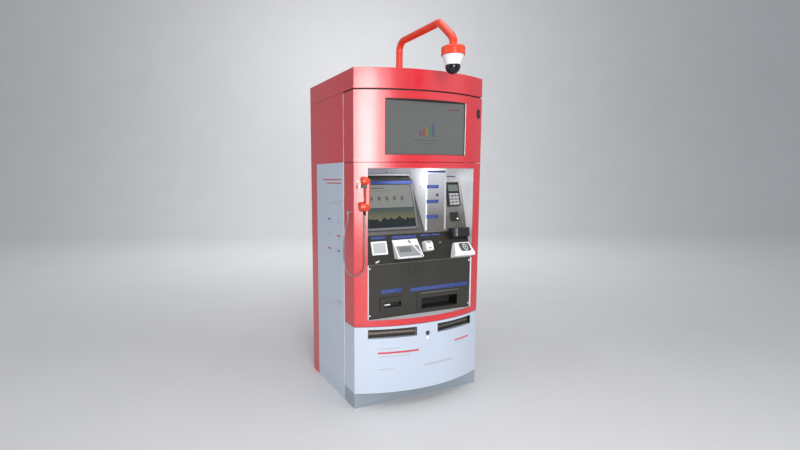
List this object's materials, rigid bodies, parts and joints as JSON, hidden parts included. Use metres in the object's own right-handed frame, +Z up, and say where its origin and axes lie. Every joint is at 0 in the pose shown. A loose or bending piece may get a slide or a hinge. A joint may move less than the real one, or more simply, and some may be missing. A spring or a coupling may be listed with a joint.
{
  "type": "self-service teller kiosk",
  "caption": "Floor-standing self-service kiosk with a bowed front, a recessed console, hinged doors, a corded handset and a dome camera.",
  "frame": {"origin": "on the floor, at the centre of the plinth's four bolt holes", "axes": "+Z up, -Y out of the bowed front, +X to the right as seen from the front"},
  "size_m": [0.9664, 1.063, 2.2611],
  "materials": {
    "red_paint": "semi-gloss powder coat",
    "white_paint": "semi-gloss powder coat",
    "pale_paint": "satin powder coat",
    "brushed_console": "brushed along X",
    "galvanised": "satin",
    "white_plastic": "fine texture",
    "grey_plastic": "fine texture",
    "black_plastic": "fine texture",
    "screen_plastic": "gloss",
    "handset_plastic": "gloss",
    "cancel_plastic": "satin",
    "enter_plastic": "satin",
    "bright_steel": "polished",
    "armoured_cord": "interlocked armour",
    "smoked_dome": "smoked, clear"
  },
  "bodies": {
    "cabinet": {"plinth": "pale_paint", "side_panel_left": "white_paint", "side_panel_right": "white_paint", "rear_panel": "red_paint", "front_post_left": "galvanised", "front_post_right": "galvanised", "top_deck": "galvanised", "top_cap": "red_paint", "alcove_liner": "white_paint", "lower_panel": "brushed_console", "shelf_panel": "brushed_console", "display_panel": "brushed_console", "service_column": "brushed_console", "device_panel": "brushed_console", "touch_display": "screen_plastic", "pin_pad": "black_plastic", "barcode_scanner": "black_plastic", "document_reader": "black_plastic", "fingerprint_scanner": "white_plastic", "card_pad": "white_plastic", "signature_pad": "white_plastic", "stylus_tether": "grey_plastic", "chip_reader": "white_plastic", "card_slot": "black_plastic", "cash_tray": "brushed_console", "camera_arm": "red_paint", "camera_collar": "red_paint", "camera_housing": "white_plastic", "camera_dome": "smoked_dome", "computer": "galvanised", "document_printers": "galvanised"},
    "upper_door_leaf": {"upper_door": "red_paint", "sign_display": "screen_plastic"},
    "upper_lock_cam": {"upper_lock": "black_plastic"},
    "middle_door_leaf": {"middle_door": "red_paint", "handset_cradle": "handset_plastic", "cord_anchor": "bright_steel", "handset_cord": "armoured_cord"},
    "hook": {"hook_lever": "bright_steel"},
    "handset_body": {"handset": "handset_plastic"},
    "lower_door_leaf": {"lower_door": "white_paint"},
    "lower_lock_cam": {"lower_lock": "black_plastic"},
    "flap_left": {"outlet_flap_left": "bright_steel"},
    "flap_right": {"outlet_flap_right": "bright_steel"},
    "camera_turntable": {"camera_yoke": "black_plastic"},
    "camera_head": {"camera_eye": "black_plastic"},
    "stylus_body": {"stylus": "grey_plastic"},
    "shutter": {"cash_shutter": "brushed_console"},
    "button_cancel": {"key_cancel": "cancel_plastic"},
    "button_0": {"key_0": "grey_plastic"},
    "button_enter": {"key_enter": "enter_plastic"},
    "button_7": {"key_7": "grey_plastic"},
    "button_8": {"key_8": "grey_plastic"},
    "button_9": {"key_9": "grey_plastic"},
    "button_4": {"key_4": "grey_plastic"},
    "button_5": {"key_5": "grey_plastic"},
    "button_6": {"key_6": "grey_plastic"},
    "button_1": {"key_1": "grey_plastic"},
    "button_2": {"key_2": "grey_plastic"},
    "button_3": {"key_3": "grey_plastic"}
  },
  "joints": [
    {"name": "upper_door_swing", "type": "hinge", "parent": "cabinet", "child": "upper_door_leaf", "pos_m": [-0.446, -0.213, 1.678], "axis": [0, 0, -1], "range_deg": [0, 90]},
    {"name": "middle_door_swing", "type": "hinge", "parent": "cabinet", "child": "middle_door_leaf", "pos_m": [-0.446, -0.213, 0.9925], "axis": [0, 0, -1], "range_deg": [0, 90]},
    {"name": "lower_door_swing", "type": "hinge", "parent": "cabinet", "child": "lower_door_leaf", "pos_m": [-0.446, -0.213, 0.3005], "axis": [0, 0, -1], "range_deg": [0, 90]},
    {"name": "upper_lock_turn", "type": "hinge", "parent": "upper_door_leaf", "child": "upper_lock_cam", "pos_m": [0.41, -0.36771, 1.781], "axis": [0.3859, -0.9225, 0], "range_deg": [0, 90]},
    {"name": "lower_lock_turn", "type": "hinge", "parent": "lower_door_leaf", "child": "lower_lock_cam", "pos_m": [0, -0.45, 0.443], "axis": [0, -1, 0], "range_deg": [0, 90]},
    {"name": "camera_pan", "type": "hinge", "parent": "cabinet", "child": "camera_turntable", "pos_m": [0, -0.65, 2], "axis": [0, 0, 1], "continuous": true},
    {"name": "camera_tilt", "type": "hinge", "parent": "camera_turntable", "child": "camera_head", "pos_m": [0, -0.65, 1.974], "axis": [1, 0, 0], "range_deg": [-10, 90]},
    {"name": "handset_lift", "type": "slide", "parent": "middle_door_leaf", "child": "handset_body", "axis": [0, 0, 1], "range_m": [0, 0.04]},
    {"name": "hook_rise", "type": "hinge", "parent": "middle_door_leaf", "child": "hook", "pos_m": [-0.43373, -0.39614, 1.336], "axis": [-0.3689, -0.9295, 0], "range_deg": [0, 8.1]},
    {"name": "stylus_pull", "type": "slide", "parent": "cabinet", "child": "stylus_body", "axis": [0, -0.7547, 0.6561], "range_m": [0, 0.03]},
    {"name": "shutter_drop", "type": "slide", "parent": "cabinet", "child": "shutter", "axis": [0, 0, -1], "range_m": [0, 0.069]},
    {"name": "outlet_flap_left_swing", "type": "hinge", "parent": "lower_door_leaf", "child": "flap_left", "pos_m": [-0.22151, -0.40085, 0.486], "axis": [-0.9769, 0.2136, 0], "range_deg": [0, 50]},
    {"name": "outlet_flap_right_swing", "type": "hinge", "parent": "lower_door_leaf", "child": "flap_right", "pos_m": [0.22151, -0.40085, 0.486], "axis": [-0.9769, -0.2136, 0], "range_deg": [0, 50]},
    {"name": "key_cancel_press", "type": "slide", "parent": "cabinet", "child": "button_cancel", "axis": [0, 0.9744, -0.225], "range_m": [0, 0.0015], "stiffness_N_per_m": 400},
    {"name": "key_0_press", "type": "slide", "parent": "cabinet", "child": "button_0", "axis": [0, 0.9744, -0.225], "range_m": [0, 0.0015], "stiffness_N_per_m": 400},
    {"name": "key_enter_press", "type": "slide", "parent": "cabinet", "child": "button_enter", "axis": [0, 0.9744, -0.225], "range_m": [0, 0.0015], "stiffness_N_per_m": 400},
    {"name": "key_7_press", "type": "slide", "parent": "cabinet", "child": "button_7", "axis": [0, 0.9744, -0.225], "range_m": [0, 0.0015], "stiffness_N_per_m": 400},
    {"name": "key_8_press", "type": "slide", "parent": "cabinet", "child": "button_8", "axis": [0, 0.9744, -0.225], "range_m": [0, 0.0015], "stiffness_N_per_m": 400},
    {"name": "key_9_press", "type": "slide", "parent": "cabinet", "child": "button_9", "axis": [0, 0.9744, -0.225], "range_m": [0, 0.0015], "stiffness_N_per_m": 400},
    {"name": "key_4_press", "type": "slide", "parent": "cabinet", "child": "button_4", "axis": [0, 0.9744, -0.225], "range_m": [0, 0.0015], "stiffness_N_per_m": 400},
    {"name": "key_5_press", "type": "slide", "parent": "cabinet", "child": "button_5", "axis": [0, 0.9744, -0.225], "range_m": [0, 0.0015], "stiffness_N_per_m": 400},
    {"name": "key_6_press", "type": "slide", "parent": "cabinet", "child": "button_6", "axis": [0, 0.9744, -0.225], "range_m": [0, 0.0015], "stiffness_N_per_m": 400},
    {"name": "key_1_press", "type": "slide", "parent": "cabinet", "child": "button_1", "axis": [0, 0.9744, -0.225], "range_m": [0, 0.0015], "stiffness_N_per_m": 400},
    {"name": "key_2_press", "type": "slide", "parent": "cabinet", "child": "button_2", "axis": [0, 0.9744, -0.225], "range_m": [0, 0.0015], "stiffness_N_per_m": 400},
    {"name": "key_3_press", "type": "slide", "parent": "cabinet", "child": "button_3", "axis": [0, 0.9744, -0.225], "range_m": [0, 0.0015], "stiffness_N_per_m": 400}
  ],
  "couplings": [
    {"joint": "hook_rise", "follows": "handset_lift", "rad_per_m": 3.5}
  ]
}
